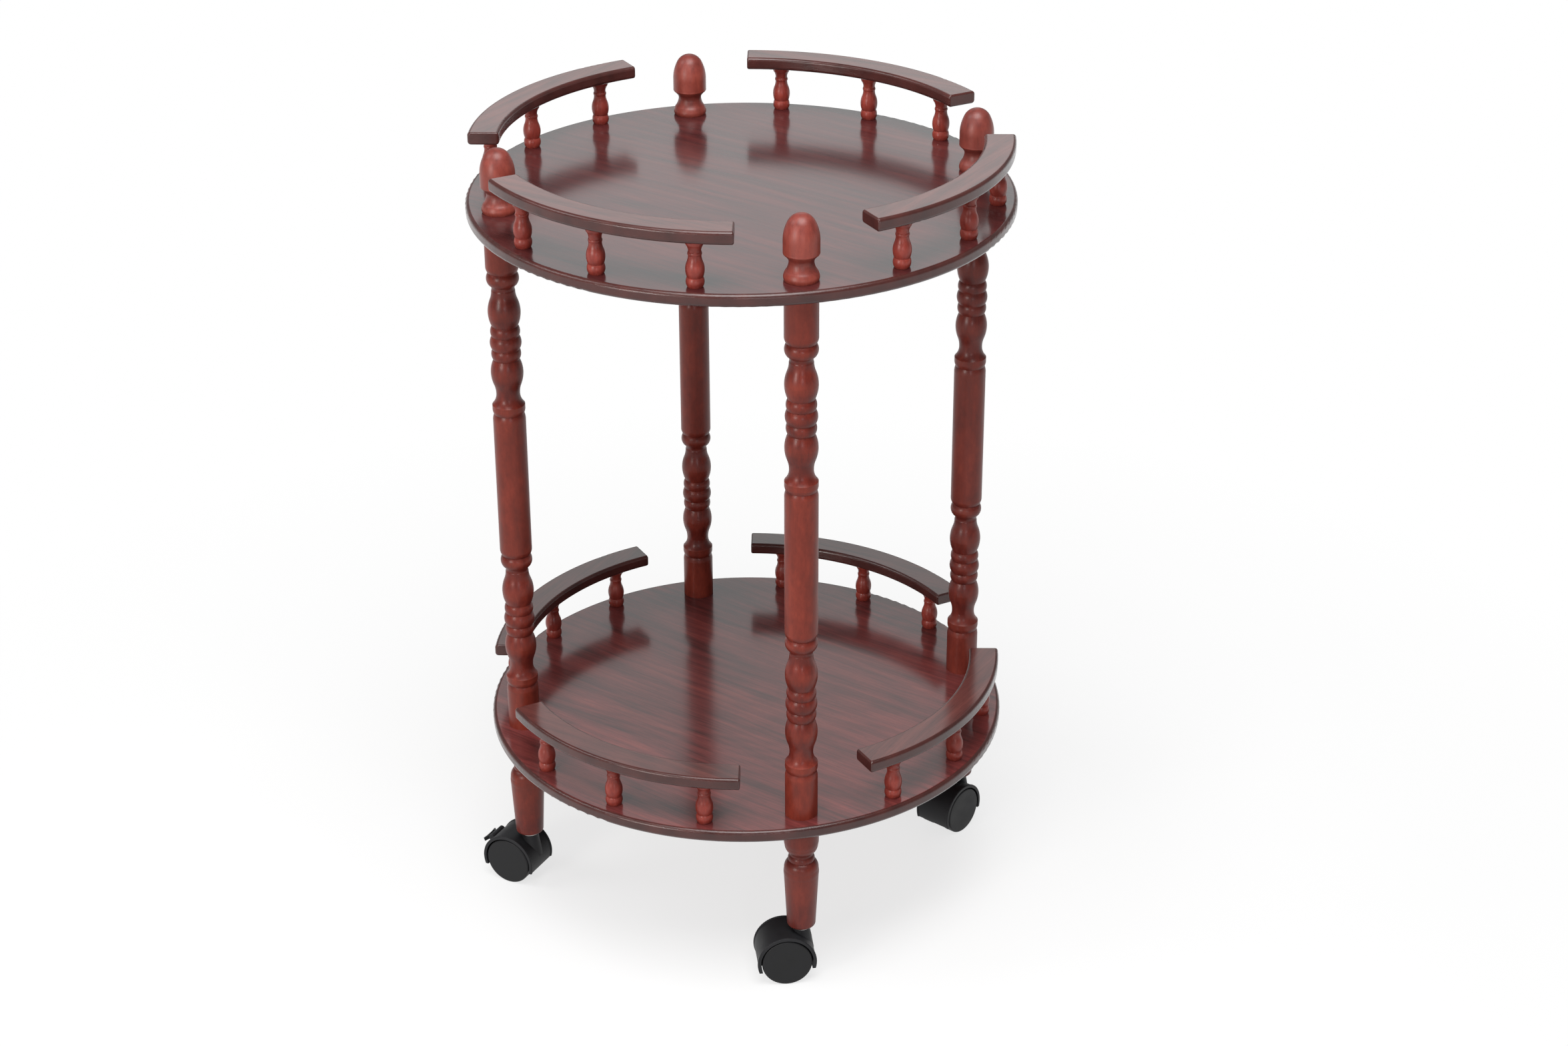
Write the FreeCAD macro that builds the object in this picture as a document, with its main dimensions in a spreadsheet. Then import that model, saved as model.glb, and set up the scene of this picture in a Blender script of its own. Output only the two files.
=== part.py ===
import FreeCAD, Part
import math
import os
import Sketcher

# A round two-tier serving trolley, in millimetres.
# The floor is z = 0 and the trolley's axis is the Z axis. The four posts stand on the X and Y axes,
# the front one on the -Y side.

doc = FreeCAD.newDocument("serving_trolley")

# Driving dimensions, lengths in millimetres and angles in degrees
SIZES = {
    # Shelves
    "shelf_radius": 210.0,
    "shelf_thickness": 10.0,
    "shelf_edge_rounding": 3.2,
    # Heights, from the floor up
    "leg_length": 93.5,
    "post_length": 434.0,
    "finial_height": 50.0,
    # Posts, legs and finials
    "post_inset": 23.6,
    "post_radius": 12.7,
    "post_end_length": 33.0,
    "turned_length": 128.0,
    "leg_radius": 13.8,
    "finial_radius": 13.3,
    # Gallery
    "rail_inset": 14.5,
    "rail_width": 24.0,
    "rail_thickness": 10.0,
    "rail_rounding": 2.6,
    "rail_end_rounding": 1.6,
    "rail_span_angle": 61.0,
    "gallery_height": 35.7,
    "spindle_step_angle": 22.3,
    "spindle_radius": 7.0,
    "tenon_radius": 3.0,
    "tenon_length": 5.0,
    # Studs that join finial, shelf, post and leg
    "stud_radius": 3.0,
    "stud_in_finial": 24.0,
    "stud_in_post": 28.0,
    "stud_in_leg": 22.0,
    "stud_bevel": 0.6,
    # Countersunk screws that hold the spindles
    "screw_radius": 1.75,
    "screw_head_radius": 3.6,
    "screw_head_height": 1.85,
    "screw_grip": 14.0,
    "screw_tip_length": 3.0,
    "recess_length": 3.4,
    "recess_width": 0.9,
    "recess_depth": 1.1,
    # Clearances
    "fit_clearance": 0.05,
    "running_clearance": 0.05,
    "hole_end_gap": 1.0,
    "cut_overrun": 1.0,
    # Caster wheels and axle
    "wheel_radius": 20.0,
    "wheel_width": 10.0,
    "wheel_rounding": 1.5,
    "wheel_rim": 3.0,
    "wheel_face": 3.0,
    "wheel_hub_radius": 5.5,
    "wheel_side_gap": 0.5,
    "axle_radius": 2.5,
    "axle_bevel": 0.5,
    # Caster hood
    "trail": 13.0,
    "web_thickness": 12.0,
    "hood_gap": 1.0,
    "hood_wall": 2.0,
    "hood_rim_height": 0.6,
    "hood_rim_width": 1.8,
    "hood_rear_drop": 8.0,
    "hood_front_drop": 6.0,
    "boss_top_radius": 6.6,
    "boss_foot_radius": 10.0,
    "boss_foot_height": 4.0,
    "boss_rise": 1.2,
    # Caster stem and socket
    "stem_radius": 4.0,
    "stem_in_socket": 32.0,
    "stem_in_hood": 20.0,
    "stem_bevel": 1.2,
    "collar_radius": 5.8,
    "collar_thickness": 1.0,
    "swivel_gap": 0.3,
    "socket_gap": 0.3,
    "socket_wall": 1.0,
    "socket_length": 36.0,
    "flange_radius": 8.8,
    "flange_thickness": 1.0,
    # Split rings on the stem
    "ring_height": 1.0,
    "ring_seat_depth": 0.7,
    "ring_end_distance": 3.0,
    "ring_side_gap": 0.15,
    "ring_gap_angle": 40.0,
    "snap_ring_reach": 0.6,
    # Brake lever
    "pivot_standoff": 3.8,
    "pivot_angle": 33.0,
    "lever_hub_radius": 2.8,
    "lever_hub_width": 9.6,
    "lever_width": 18.0,
    "lever_length": 8.6,
    "lever_thickness": 2.8,
    "lever_recess_depth": 0.6,
    "lever_tilt_angle": 25.0,
    "lever_travel_angle": 18.0,
    "lever_side_gap": 0.5,
    "cam_radius": 1.6,
    "brake_gap": 0.3,
    "trunnion_radius": 1.2,
    "trunnion_length": 2.0,
    "ear_thickness": 3.0,
    "window_gap": 0.4,
    # The way each caster trails, as a turn about Z from the +X axis
    "front_trail_angle": 173.0,
    "right_trail_angle": -144.0,
    "rear_trail_angle": 40.0,
    "left_trail_angle": 139.0,
}

# Turned outlines. Each row is a height, a radius and the swell of the edge that leads up from there,
# as shares of the piece's own height, its own radius and the edge's chord. A cove has a negative swell,
# and a dome is part of a ball whose centre lies on the axis.
DOME = "dome"
# The group cut into a post starts, ends and has its collar just outside the rod, which stays plain there.
POST_GROUP_SHARES = [
    (0.000, 1.005, 0.050),
    (0.045, 0.915, 0.060),
    (0.078, 1.005, 0.000),
    (0.104, 1.005, -0.097),
    (0.173, 0.722, -0.052),
    (0.242, 0.854, 0.046),
    (0.316, 0.988, 0.058),
    (0.400, 0.790, 0.140),
    (0.466, 0.830, 0.150),
    (0.552, 0.830, 0.140),
    (0.617, 0.790, 0.055),
    (0.705, 0.990, 0.046),
    (0.779, 0.854, -0.052),
    (0.844, 0.718, -0.200),
    (0.884, 0.858, 0.170),
    (0.958, 0.866, 0.077),
    (1.000, 1.005, 0.000),
]
FINIAL_SHARES = [
    (0.000, 0.930, 0.120),
    (0.095, 0.955, 0.060),
    (0.150, 0.850, -0.050),
    (0.230, 0.720, -0.080),
    (0.315, 0.710, -0.040),
    (0.390, 0.955, 0.150),
    (0.425, 1.000, 0.000),
    (0.580, 1.000, 0.060),
    (0.860, 0.780, DOME),
]
LEG_SHARES = [
    (0.000, 0.690, 0.200),
    (0.026, 0.826, 0.000),
    (0.505, 0.993, 0.050),
    (0.565, 0.985, 0.110),
    (0.638, 0.800, 0.000),
    (0.646, 0.735, 0.130),
    (0.690, 0.715, 0.000),
    (0.700, 0.665, -0.120),
    (0.724, 0.690, 0.000),
    (0.735, 0.770, 0.090),
    (0.800, 0.955, 0.040),
    (0.860, 0.995, 0.000),
    (1.000, 0.995, 0.000),
]
SPINDLE_SHARES = [
    (0.000, 0.780, 0.140),
    (0.210, 0.830, 0.095),
    (0.520, 0.840, -0.040),
    (0.630, 0.690, 0.000),
    (0.668, 0.685, 0.170),
    (0.745, 0.670, 0.000),
    (0.785, 0.675, -0.060),
    (0.900, 0.930, 0.060),
    (1.000, 0.980, 0.000),
]
# The brake paddle seen from above: half widths and lengths, as shares of its width and length.
PADDLE_SHARES = [(0.24, 0.00), (0.25, 0.42), (0.50, 0.92), (0.45, 1.00), (0.18, 0.88)]
PADDLE_RECESS_SHARES = [(0.17, 0.48), (0.30, 0.78), (0.14, 0.76)]

# Where the four posts stand, as angles about Z from the +X axis
POST_ANGLES = {"front": -90.0, "right": 0.0, "rear": 90.0, "left": 180.0}
# Each gallery rail runs on, counter-clockwise, from near the post named here to near the next one
RAIL_POSTS = {"front_right": "front", "rear_right": "right", "rear_left": "rear", "front_left": "left"}
# The spindles under each rail, counted in steps from its middle one
SPINDLE_STEPS = (-1, 0, 1)
BRAKED_CASTERS = ("left", "rear")
FULL_TURN = 360.0
HALF_TURN = 180.0
# From a post to the middle of the next rail
HALF_SIDE_ANGLE = FULL_TURN / len(POST_ANGLES) / 2
# The sagitta of a quarter circle as a share of its chord
QUARTER_SWELL_SHARE = (math.sqrt(2) - 1) / 2
# Numbers nearer to each other than this count as the same
TINY = 1e-6

sheet = doc.addObject("Spreadsheet::Sheet", "Sizes")
for row, (name, number) in enumerate(SIZES.items(), start=1):
    sheet.set(f"A{row}", name)
    sheet.set(f"B{row}", str(number))
    sheet.setAlias(f"B{row}", name)
doc.recompute()


class Size:
    """A number worked out from the sheet, kept together with the expression that gives it."""

    def __init__(self, value, text):
        self.value = value
        self.text = text

    def __add__(self, other):
        other = as_size(other)
        return Size(self.value + other.value, f"({self.text} + {other.text})")

    def __sub__(self, other):
        other = as_size(other)
        return Size(self.value - other.value, f"({self.text} - {other.text})")

    def __rsub__(self, other):
        return as_size(other) - self

    def __mul__(self, other):
        other = as_size(other)
        return Size(self.value * other.value, f"({self.text} * {other.text})")

    def __truediv__(self, other):
        other = as_size(other)
        return Size(self.value / other.value, f"({self.text} / {other.text})")

    def __neg__(self):
        return as_size(0) - self

    __radd__ = __add__
    __rmul__ = __mul__


def as_size(number):
    """A plain number as a Size."""
    if isinstance(number, Size):
        return number
    return Size(number, f"({number})")


def root(square):
    return Size(math.sqrt(square.value), f"sqrt({square.text})")


def cosine(angle):
    angle = as_size(angle)
    return Size(math.cos(math.radians(angle.value)), f"cos({angle.text} * 1 deg)")


def sine(angle):
    angle = as_size(angle)
    return Size(math.sin(math.radians(angle.value)), f"sin({angle.text} * 1 deg)")


class SheetReader:
    """Gives each named cell of the sheet as a Size."""

    def __getattr__(self, name):
        return Size(getattr(sheet, name), f"Sizes.{name}")


size = SheetReader()

# Circles that the posts and the middles of the rails stand on
post_circle_radius = size.shelf_radius - size.post_inset
rail_radius = size.shelf_radius - size.rail_inset

# Caster levels and widths, measured from the wheel axle
wheel_inner_face = size.web_thickness / 2 + size.wheel_side_gap
wheel_outer_face = wheel_inner_face + size.wheel_width
hood_inner_radius = size.wheel_radius + size.hood_gap
hood_outer_radius = hood_inner_radius + size.hood_wall
boss_top = hood_outer_radius + size.boss_rise
lever_half_width = size.lever_hub_width / 2
pivot_radius = size.wheel_radius + size.pivot_standoff
pivot_across = pivot_radius * cosine(size.pivot_angle)
pivot_up = pivot_radius * sine(size.pivot_angle)
ear_inner_face = lever_half_width + size.lever_side_gap
cam_reach = size.pivot_standoff - size.brake_gap

# Heights of the main faces above the floor
collar_base = size.wheel_radius + boss_top + size.swivel_gap
leg_foot = collar_base + size.collar_thickness + size.flange_thickness
lower_shelf_base = leg_foot + size.leg_length
lower_shelf_top = lower_shelf_base + size.shelf_thickness
top_shelf_base = lower_shelf_top + size.post_length
top_shelf_top = top_shelf_base + size.shelf_thickness

# Holes that take the studs, tenons and screws, the sockets in them, and the first screw's place
stud_hole_radius = size.stud_radius + size.fit_clearance
tenon_hole_radius = size.tenon_radius + size.fit_clearance
screw_hole_radius = size.screw_radius + size.fit_clearance
socket_radius = size.stem_radius + size.socket_gap + size.socket_wall
first_spindle_turn = HALF_SIDE_ANGLE + size.spindle_step_angle * SPINDLE_STEPS[0]

# Levels of the stems and their ring seats, above the floor
stem_top = leg_foot + size.stem_in_socket
stem_foot = collar_base - size.swivel_gap - size.stem_in_hood
snap_seat_low = stem_foot + size.ring_end_distance
grip_seat_low = stem_top - size.ring_end_distance - size.ring_height


def new_body(label, turn=0, across=0, along=0, up=0):
    """An empty body turned about Z and placed at a point that follows the sheet."""
    body = doc.addObject("PartDesign::Body", label)
    body.Label = label
    turn = as_size(turn)
    body.Placement = FreeCAD.Placement(
        FreeCAD.Vector(), FreeCAD.Rotation(FreeCAD.Vector(0, 0, 1), turn.value)
    )
    for axis, place in zip("xyz", (across, along, up)):
        body.setExpression(f"Placement.Base.{axis}", as_size(place).text)
    return body


def origin_feature(body, role):
    return next(feature for feature in body.Origin.OriginFeatures if feature.Role == role)


def new_sketch(body, role, turn=None, lift=None):
    """A sketch on one of the body's own origin planes, turned about its upright or lifted off it."""
    sketch = body.newObject("Sketcher::SketchObject", f"{body.Name}_sketch")
    sketch.AttachmentSupport = [(origin_feature(body, role), "")]
    sketch.MapMode = "FlatFace"
    if turn:
        upright = FreeCAD.Rotation(FreeCAD.Vector(0, 1, 0), turn.value)
        sketch.AttachmentOffset = FreeCAD.Placement(FreeCAD.Vector(), upright)
        sketch.setExpression("AttachmentOffset.Rotation.Angle", turn.text)
    if lift:
        sketch.setExpression("AttachmentOffset.Base.z", lift.text)
    return sketch


def dimension(kind, *where, length):
    """A dimension of a sketch, with the expression that it follows."""
    return Sketcher.Constraint(kind, *where, length.value), length.text


def pins(edge, end, point):
    """Holds one end of an edge at a point given by its two distances from the sketch's axes."""
    held = []
    for kind, axis, distance in (("DistanceX", -2, point[0]), ("DistanceY", -1, point[1])):
        if isinstance(distance, Size):
            held.append(dimension(kind, -1, 1, edge, end, length=distance))
        else:
            held.append((Sketcher.Constraint("PointOnObject", edge, end, axis), None))
    return held


def hold(sketch, held):
    """Adds constraints to a sketch in one go and ties them to their expressions."""
    places = sketch.addConstraint([constraint for constraint, _ in held])
    for place, (_, text) in zip(places, held):
        if text:
            sketch.setExpression(f"Constraints[{place}]", text)


def spot(point):
    """A point of a sketch as a vector."""
    return FreeCAD.Vector(as_size(point[0]).value, as_size(point[1]).value, 0)


def bent_edge(start, finish, swell):
    """An arc between two points, and its radius; a positive swell lies to the right of the way."""
    chord = root((finish[0] - start[0]) * (finish[0] - start[0])
                 + (finish[1] - start[1]) * (finish[1] - start[1]))
    radius = chord * (1 / (8 * abs(swell)) + abs(swell) / 2)
    way = spot(finish) - spot(start)
    middle = spot(start) + way / 2 + FreeCAD.Vector(way.y, -way.x, 0) * swell
    return Part.Arc(spot(start), middle, spot(finish)), radius


def dome_edge(shoulder, tip):
    """An arc from a shoulder to a tip on the upright axis, with its centre on that axis."""
    rise = tip.y - shoulder.y
    ball_radius = (shoulder.x ** 2 + rise ** 2) / (2 * rise)
    way = (shoulder + tip) / 2 - FreeCAD.Vector(0, tip.y - ball_radius, 0)
    middle = FreeCAD.Vector(0, tip.y - ball_radius, 0) + way.normalize() * ball_radius
    return Part.Arc(shoulder, middle, tip)


def draw_outline(sketch, points):
    """A closed outline through points (across, up, swell of the edge that leaves the point)."""
    edges = []
    held = []
    for place, (across, up, swell) in enumerate(points):
        next_across, next_up, _ = points[(place + 1) % len(points)]
        start = (across, up)
        finish = (next_across, next_up)
        if swell == DOME:
            edge = sketch.addGeometry(dome_edge(spot(start), spot(finish)), False)
            held.append((Sketcher.Constraint("PointOnObject", edge, 3, -2), None))
        elif swell:
            curve, radius = bent_edge(start, finish, swell)
            edge = sketch.addGeometry(curve, False)
            held.append(dimension("Radius", edge, length=radius))
        else:
            edge = sketch.addGeometry(Part.LineSegment(spot(start), spot(finish)), False)
        runs_on = sketch.getPoint(edge, 1).isEqual(spot(start), TINY)
        edges.append((edge, 1, 2) if runs_on else (edge, 2, 1))
    for place, (edge, from_end, _) in enumerate(edges):
        before, _, before_end = edges[place - 1]
        held.append((Sketcher.Constraint("Coincident", before, before_end, edge, from_end), None))
        held += pins(edge, from_end, points[place][:2])
    hold(sketch, held)


def draw_circle(sketch, radius, across=0, up=0):
    circle = Part.Circle(spot((across, up)), FreeCAD.Vector(0, 0, 1), radius.value)
    edge = sketch.addGeometry(circle, False)
    hold(sketch, [dimension("Radius", edge, length=radius), *pins(edge, 3, (across, up))])


def draw_axis(sketch, across):
    """A construction line parallel to the sketch's upright axis, to turn a profile about."""
    foot = (across, 0)
    head = (across, size.shelf_thickness)
    edge = sketch.addGeometry(Part.LineSegment(spot(foot), spot(head)), True)
    hold(sketch, pins(edge, 1, foot) + pins(edge, 2, head))


def turn_feature(body, kind, sketch, axis, angle=None):
    """A solid or a cut of revolution about an axis of the sketch."""
    feature = body.newObject(f"PartDesign::{kind}", f"{body.Name}_{kind.lower()}")
    feature.Profile = sketch
    feature.ReferenceAxis = (sketch, [axis])
    if angle is None:
        feature.Angle = FULL_TURN
    else:
        feature.setExpression("Angle", angle.text)
    sketch.Visibility = False
    return feature


def pad_feature(body, kind, sketch, length):
    """A pad or a pocket whose whole length lies half to each side of the sketch."""
    feature = body.newObject(f"PartDesign::{kind}", f"{body.Name}_{kind.lower()}")
    feature.Profile = sketch
    feature.SideType = "Symmetric"
    feature.setExpression("Length", length.text)
    sketch.Visibility = False
    return feature


def polar_step(body, count, angle):
    """A pattern about the body's Z axis: a count of copies spread over an angle."""
    step = doc.addObject("PartDesign::PolarPattern", f"{body.Name}_pattern")
    step.Axis = (origin_feature(body, "Z_Axis"), [""])
    step.Occurrences = count
    step.setExpression("Angle", as_size(angle).text)
    return step


def repeat(body, features, *steps):
    """Repeats features by one polar pattern, or by several, each on the result of the last."""
    doc.recompute()
    pattern = body.newObject("PartDesign::MultiTransform", f"{body.Name}_repeat")
    pattern.Originals = features
    pattern.Transformations = [polar_step(body, count, angle) for count, angle in steps]
    body.Tip = pattern


def round_edges(body, base, edges, radius):
    """Rounds the listed edges of a feature."""
    names = [f"Edge{place + 1}" for place, edge in enumerate(base.Shape.Edges)
             if any(edge.isSame(chosen) for chosen in edges)]
    fillet = body.newObject("PartDesign::Fillet", f"{body.Name}_rounding")
    fillet.Base = (base, names)
    fillet.setExpression("Radius", radius.text)


# One set of copies at the posts, and one at the spindles of every rail
AT_POSTS = [(len(POST_ANGLES), FULL_TURN - FULL_TURN / len(POST_ANGLES))]
AT_SPINDLES = [(len(SPINDLE_STEPS), size.spindle_step_angle * (len(SPINDLE_STEPS) - 1)), *AT_POSTS]


def scaled(shares, height, radius, base=0):
    """Turned outline points from a table of shares."""
    return [(radius * round_share, base + height * up_share, swell)
            for up_share, round_share, swell in shares]


def with_end_holes(points, foot_hole, head_hole=None):
    """Closes a turned outline on its axis, with a blind hole (radius, depth) in its foot or both ends."""
    foot = points[0][1]
    tip_radius, head, _ = points[-1]
    closed = list(points)
    if head_hole:
        radius, depth = head_hole
        closed += [(radius, head, 0), (radius, head - depth, 0), (0, head - depth, 0)]
    elif tip_radius:
        closed.append((0, head, 0))
    radius, depth = foot_hole
    closed += [(0, foot + depth, 0), (radius, foot + depth, 0), (radius, foot, 0)]
    return closed


def moved_out(points, across):
    """The same outline with its axis moved out from the sketch's own axis."""
    return [(across + x, up, swell) for x, up, swell in points]


def at_post(side):
    """The place of a post on the floor plan."""
    turn = POST_ANGLES[side]
    return post_circle_radius * cosine(turn), post_circle_radius * sine(turn)


def turned_body(label, points, across, along, up):
    body = new_body(label, 0, across, along, up)
    sketch = new_sketch(body, "XZ_Plane")
    draw_outline(sketch, points)
    turn_feature(body, "Revolution", sketch, "V_Axis")
    return body


def ring_of_four(label, points, up=0, angle=None):
    """Four like turned pieces, one on each post's axis, as one body."""
    body = new_body(label, 0, 0, 0, up)
    sketch = new_sketch(body, "XZ_Plane")
    draw_outline(sketch, moved_out(points, post_circle_radius))
    draw_axis(sketch, post_circle_radius)
    feature = turn_feature(body, "Revolution", sketch, "Axis0", angle)
    repeat(body, [feature], *AT_POSTS)
    return body


# Shelves

def make_shelf(label, base):
    """A round board with softened edges, drilled for the studs and countersunk for the screws."""
    body = new_body(label, 0, 0, 0, base)
    rim = size.shelf_radius
    soft = size.shelf_edge_rounding
    thick = size.shelf_thickness
    sketch = new_sketch(body, "XZ_Plane")
    draw_outline(sketch, [
        (0, 0, 0),
        (rim - soft, 0, QUARTER_SWELL_SHARE),
        (rim, soft, 0),
        (rim, thick - soft, QUARTER_SWELL_SHARE),
        (rim - soft, thick, 0),
        (0, thick, 0),
    ])
    # Two half turns that stay unmerged, so that the faces of the rim mesh evenly.
    for reverse in (False, True):
        half = turn_feature(body, "Revolution", sketch, "V_Axis")
        half.Angle = HALF_TURN
        half.Reversed = reverse

    stud_sketch = new_sketch(body, "XY_Plane")
    draw_circle(stud_sketch, stud_hole_radius, post_circle_radius, 0)
    stud_hole = pad_feature(body, "Pocket", stud_sketch, (thick + size.cut_overrun) * 2)
    repeat(body, [stud_hole], *AT_POSTS)

    screw_sketch = new_sketch(body, "XZ_Plane", turn=first_spindle_turn)
    sink_radius = size.screw_head_radius + size.fit_clearance
    draw_outline(screw_sketch, moved_out([
        (0, -size.cut_overrun, 0),
        (sink_radius, -size.cut_overrun, 0),
        (sink_radius, 0, 0),
        (screw_hole_radius, size.screw_head_height, 0),
        (screw_hole_radius, thick + size.cut_overrun, 0),
        (0, thick + size.cut_overrun, 0),
    ], rail_radius))
    draw_axis(screw_sketch, rail_radius)
    screw_hole = turn_feature(body, "Groove", screw_sketch, "Axis0")
    repeat(body, [screw_hole], *AT_SPINDLES)
    for feature in body.Group:
        if hasattr(feature, "Refine"):
            feature.Refine = False
    return body


# Gallery

def make_rail(label, turn, base):
    """A curved rail with rounded edges, drilled from below for the tenons of its spindles."""
    body = new_body(label, turn, 0, 0, base)
    inner = rail_radius - size.rail_width / 2
    outer = rail_radius + size.rail_width / 2
    thick = size.rail_thickness
    soft = size.rail_rounding
    sketch = new_sketch(body, "XZ_Plane")
    draw_outline(sketch, [
        (inner + soft, 0, 0),
        (outer - soft, 0, QUARTER_SWELL_SHARE),
        (outer, soft, 0),
        (outer, thick - soft, QUARTER_SWELL_SHARE),
        (outer - soft, thick, 0),
        (inner + soft, thick, QUARTER_SWELL_SHARE),
        (inner, thick - soft, 0),
        (inner, soft, QUARTER_SWELL_SHARE),
    ])
    bend = turn_feature(body, "Revolution", sketch, "V_Axis", size.rail_span_angle)
    bend.Midplane = True
    doc.recompute()
    end_faces = [face for face in bend.Shape.Faces
                 if isinstance(face.Surface, Part.Plane) and abs(face.Surface.Axis.z) < TINY]
    end_edges = [edge for face in end_faces for edge in face.Edges]
    round_edges(body, bend, end_edges, size.rail_end_rounding)

    holes = new_sketch(body, "XY_Plane")
    for step in SPINDLE_STEPS:
        angle = size.spindle_step_angle * step
        across = rail_radius * cosine(angle)
        along = rail_radius * sine(angle) if step else 0
        draw_circle(holes, tenon_hole_radius, across, along)
    pad_feature(body, "Pocket", holes, (size.tenon_length + size.hole_end_gap) * 2)
    return body


def make_spindles(label, turn, base):
    """The three turned spindles under one rail, each with a tenon above and a screw hole below."""
    body = new_body(label, turn + size.spindle_step_angle * SPINDLE_STEPS[0], 0, 0, base)
    height = size.gallery_height
    tenon = [(size.tenon_radius, height, 0), (size.tenon_radius, height + size.tenon_length, 0)]
    outline = scaled(SPINDLE_SHARES, height, size.spindle_radius) + tenon
    points = with_end_holes(outline, foot_hole=(screw_hole_radius, size.screw_grip + size.hole_end_gap))
    sketch = new_sketch(body, "XZ_Plane")
    draw_outline(sketch, moved_out(points, rail_radius))
    draw_axis(sketch, rail_radius)
    spindle = turn_feature(body, "Revolution", sketch, "Axis0")
    repeat(body, [spindle], AT_SPINDLES[0])
    return body


def make_screws(label, base):
    """The countersunk screws of one shelf, their heads flush with its underside."""
    body = new_body(label, first_spindle_turn, 0, 0, base)
    tip = size.shelf_thickness + size.screw_grip
    sketch = new_sketch(body, "XZ_Plane")
    draw_outline(sketch, moved_out([
        (0, 0, 0),
        (size.screw_head_radius, 0, 0),
        (size.screw_radius, size.screw_head_height, 0),
        (size.screw_radius, tip - size.screw_tip_length, 0),
        (0, tip, 0),
    ], rail_radius))
    draw_axis(sketch, rail_radius)
    screw = turn_feature(body, "Revolution", sketch, "Axis0")

    cross = new_sketch(body, "XY_Plane")
    long = size.recess_length / 2
    short = size.recess_width / 2
    draw_outline(cross, moved_out([
        (short, -long, 0), (short, -short, 0), (long, -short, 0),
        (long, short, 0), (short, short, 0), (short, long, 0),
        (-short, long, 0), (-short, short, 0), (-long, short, 0),
        (-long, -short, 0), (-short, -short, 0), (-short, -long, 0),
    ], rail_radius))
    recess = pad_feature(body, "Pocket", cross, size.recess_depth * 2)
    repeat(body, [screw, recess], *AT_SPINDLES)
    return body


# Turned posts, finials and legs, and the studs between them

def make_post(side):
    """A plain rod, drilled at both ends, with the same turned group cut into it twice."""
    radius = size.post_radius
    hole = (stud_hole_radius, size.stud_in_post + size.hole_end_gap)
    rod = [(radius, as_size(0), 0), (radius, size.post_length, 0)]
    points = with_end_holes(rod, foot_hole=hole, head_hole=hole)
    body = turned_body(f"post_{side}", points, *at_post(side), lower_shelf_top)

    clear = radius + size.cut_overrun
    for foot in (size.post_end_length, size.post_length - size.post_end_length - size.turned_length):
        sketch = new_sketch(body, "XZ_Plane")
        group = scaled(POST_GROUP_SHARES, size.turned_length, radius, foot)
        draw_outline(sketch, group + [(clear, foot + size.turned_length, 0), (clear, foot, 0)])
        turn_feature(body, "Groove", sketch, "V_Axis")
    return body


def make_finial(side):
    outline = scaled(FINIAL_SHARES, size.finial_height, size.finial_radius)
    hole = (stud_hole_radius, size.stud_in_finial + size.hole_end_gap)
    points = with_end_holes(outline + [(0, size.finial_height, 0)], foot_hole=hole)
    return turned_body(f"finial_{side}", points, *at_post(side), top_shelf_top)


def make_leg(side):
    """A leg with a waist near its top, drilled above for the stud and below for the socket."""
    outline = scaled(LEG_SHARES, size.leg_length, size.leg_radius)
    socket_hole = (socket_radius + size.fit_clearance, size.socket_length + size.hole_end_gap)
    stud_hole = (stud_hole_radius, size.stud_in_leg + size.hole_end_gap)
    points = with_end_holes(outline, foot_hole=socket_hole, head_hole=stud_hole)
    return turned_body(f"leg_{side}", points, *at_post(side), leg_foot)


def rod_points(radius, foot, head, bevel):
    """The outline of a round rod with bevelled ends."""
    return [
        (0, foot, 0),
        (radius - bevel, foot, 0),
        (radius, foot + bevel, 0),
        (radius, head - bevel, 0),
        (radius - bevel, head, 0),
        (0, head, 0),
    ]


def make_studs(label, shelf_base, reach_below, reach_above):
    """The four studs through one shelf."""
    foot = -reach_below
    head = size.shelf_thickness + reach_above
    return ring_of_four(label, rod_points(size.stud_radius, foot, head, size.stud_bevel), shelf_base)


# Caster sockets, stems and rings, four of each

def make_sockets():
    """Flanged sleeves pressed into the feet of the legs."""
    bore = size.stem_radius + size.socket_gap
    face = leg_foot - size.flange_thickness
    return ring_of_four("caster_sockets", [
        (bore, face, 0),
        (size.flange_radius, face, 0),
        (size.flange_radius, leg_foot, 0),
        (socket_radius, leg_foot, 0),
        (socket_radius, leg_foot + size.socket_length, 0),
        (bore, leg_foot + size.socket_length, 0),
    ])


def ring_seat(low):
    """The groove for a split ring in a stem: its floor radius and its two levels."""
    return size.stem_radius - size.ring_seat_depth, low, low + size.ring_height + size.ring_side_gap * 2


def make_stems():
    """Stems that stand in the sockets, with a collar under the flange and a seat for each ring."""
    radius = size.stem_radius
    collar_top = collar_base + size.collar_thickness
    outline = rod_points(radius, stem_foot, stem_top, size.stem_bevel)
    notches = []
    for floor, low, high in (ring_seat(snap_seat_low), ring_seat(grip_seat_low)):
        notches.append([(radius, low, 0), (floor, low, 0), (floor, high, 0), (radius, high, 0)])
    collar = [
        (radius, collar_base, 0),
        (size.collar_radius, collar_base, 0),
        (size.collar_radius, collar_top, 0),
        (radius, collar_top, 0),
    ]
    return ring_of_four("caster_stems", outline[:3] + notches[0] + collar + notches[1] + outline[3:])


def make_rings(label, seat_low, outer_radius):
    """Split rings that sit in the stems' seats."""
    floor, low, high = ring_seat(seat_low)
    inner_radius = floor + size.fit_clearance
    low = low + size.ring_side_gap
    high = high - size.ring_side_gap
    points = [(inner_radius, low, 0), (outer_radius, low, 0), (outer_radius, high, 0), (inner_radius, high, 0)]
    return ring_of_four(label, points, angle=FULL_TURN - size.ring_gap_angle)


# Casters. Each of these bodies has its origin on the wheel axle, X along the trail and Y along the axle.

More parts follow.
